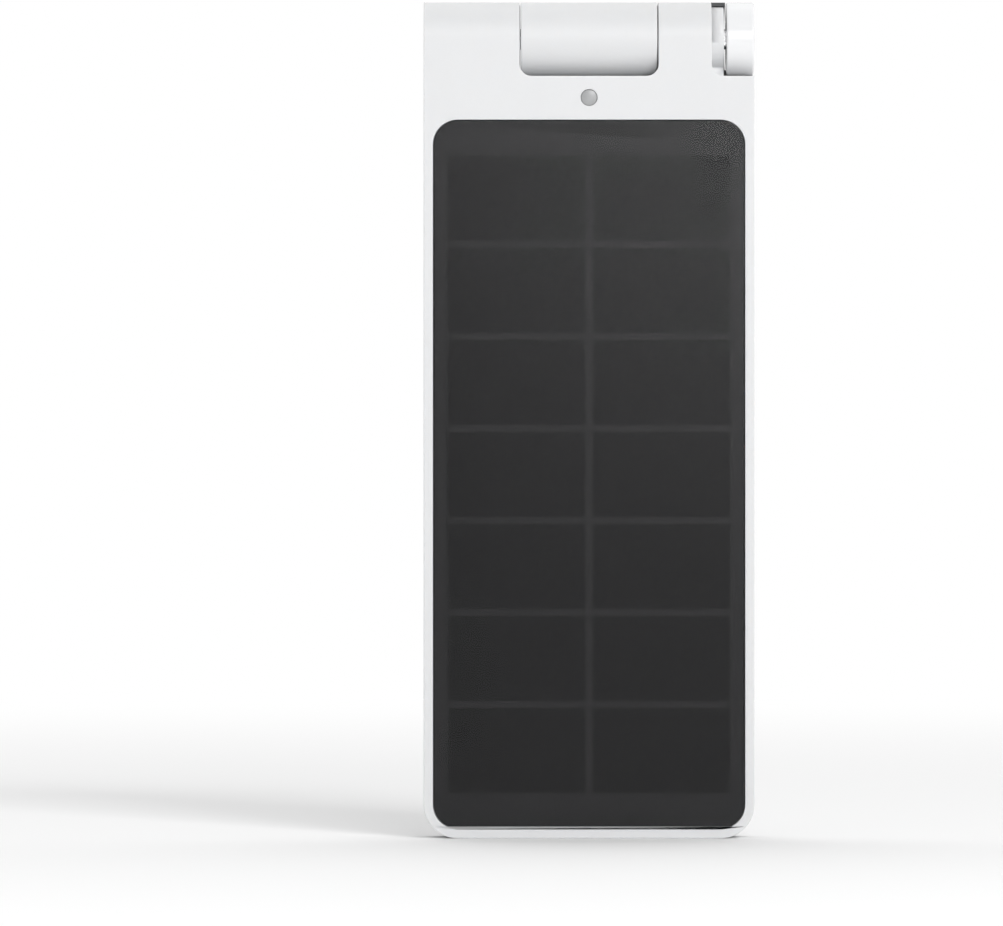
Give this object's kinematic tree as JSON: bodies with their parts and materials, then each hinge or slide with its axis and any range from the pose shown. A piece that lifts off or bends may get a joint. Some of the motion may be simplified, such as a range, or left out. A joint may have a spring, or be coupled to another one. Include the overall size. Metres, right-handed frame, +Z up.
{
  "type": "solar security camera",
  "caption": "Upright battery security camera with a solar panel on one face and a camera drum that tilts in the rolled top, turned by a side knob.",
  "frame": {"origin": "centre of the plain end it stands on, in the plane where the two shells meet", "axes": "+Z up from the plain end to the roll, -Y towards the solar side, +Y towards the camera side, +X towards the tilt knob"},
  "size_m": [0.096, 0.0214, 0.243],
  "materials": {
    "white_shell": "fine satin",
    "dark_shell": "fine texture",
    "knob_plastic": "gloss",
    "seal_rubber": "matte",
    "port_rubber": "matte",
    "zinc_steel": "zinc plated",
    "brass": "turned",
    "cover_glass": "clear, polished",
    "silicon": "coated silicon",
    "panel_film": "black film",
    "board": "solder mask",
    "black_board": "solder mask",
    "tape": "foam",
    "wire_black": "insulation",
    "wire_red": "insulation",
    "window_plastic": "diffusing",
    "chip_black": "moulded",
    "tin_plate": "tinned",
    "gold_plate": "plated",
    "card_plastic": "moulded",
    "plunger_plastic": "moulded",
    "connector_plastic": "moulded",
    "pouch_foil": "laminated foil",
    "bush_plastic": "acetal",
    "dark_window": "infrared window",
    "lens_black": "anodised look",
    "lens_glass": "coated",
    "sensor_glass": "polished",
    "led_clear": "clear epoxy",
    "dome_plastic": "milky",
    "button_rubber": "matte"
  },
  "bodies": {
    "housing": {"front_shell": "white_shell", "back_shell": "dark_shell", "housing_seal": "seal_rubber", "housing_screws": "zinc_steel", "screw_plugs": "button_rubber", "solar_glass": "cover_glass", "solar_cells": "silicon", "cell_film": "panel_film", "panel_backing": "black_board", "panel_tape": "tape", "panel_lead": "wire_red", "status_window": "window_plastic", "status_led": "led_clear", "main_board": "board", "board_screws": "zinc_steel", "processor_shield": "tin_plate", "wireless_module": "tin_plate", "power_parts": "chip_black", "usb_socket": "tin_plate", "card_socket": "tin_plate", "push_switches": "chip_black", "microphone": "gold_plate", "sound_gaskets": "seal_rubber", "board_connectors": "connector_plastic", "battery_1": "pouch_foil", "battery_2": "pouch_foil", "battery_board": "black_board", "battery_leads": "wire_red", "battery_foam": "tape", "speaker": "chip_black", "speaker_lead": "wire_black", "antenna": "gold_plate", "antenna_lead": "wire_black", "camera_lead": "wire_black", "mount_insert": "brass", "shaft_bushes": "bush_plastic", "shaft_seals": "seal_rubber"},
    "camera_drum": {"wave_washer": "zinc_steel", "retaining_clip": "zinc_steel", "drum_rear": "white_shell", "drum_front": "white_shell", "camera_window": "dark_window", "lens_barrel": "lens_black", "lens_glass": "lens_glass", "lens_holder": "lens_black", "image_sensor": "sensor_glass", "sensor_board": "board", "infrared_board": "black_board", "infrared_leds": "led_clear", "motion_sensor": "tin_plate", "motion_lens": "dome_plastic", "head_lead": "wire_black", "tilt_shaft": "zinc_steel", "left_trunnion": "zinc_steel", "tilt_knob": "knob_plastic"},
    "power_button": {"power_button": "button_rubber", "power_plunger": "plunger_plastic"},
    "reset_button": {"reset_plunger": "plunger_plastic"},
    "card": {"memory_card": "card_plastic"},
    "cover": {"port_cover": "port_rubber"}
  },
  "joints": [
    {"name": "camera_tilt", "type": "hinge", "parent": "housing", "child": "camera_drum", "pos_m": [0, 0, 0.2323], "axis": [1, 0, 0], "range_deg": [-45, 135]},
    {"name": "power_press", "type": "slide", "parent": "housing", "child": "power_button", "axis": [0, -1, 0], "range_m": [0, 0.0005], "stiffness_N_per_m": 2000, "springref_m": -0.0002},
    {"name": "reset_press", "type": "slide", "parent": "housing", "child": "reset_button", "axis": [0, -1, 0], "range_m": [0, 0.0005], "stiffness_N_per_m": 2000, "springref_m": -0.0002},
    {"name": "card_press", "type": "slide", "parent": "housing", "child": "card", "axis": [-1, 0, 0], "range_m": [0, 0.0008], "stiffness_N_per_m": 1000, "springref_m": -0.0002},
    {"name": "cover_hinge", "type": "hinge", "parent": "housing", "child": "cover", "pos_m": [0.0474, -0.0035, 0.1956], "axis": [0, -1, 0], "range_deg": [0, 100]}
  ]
}
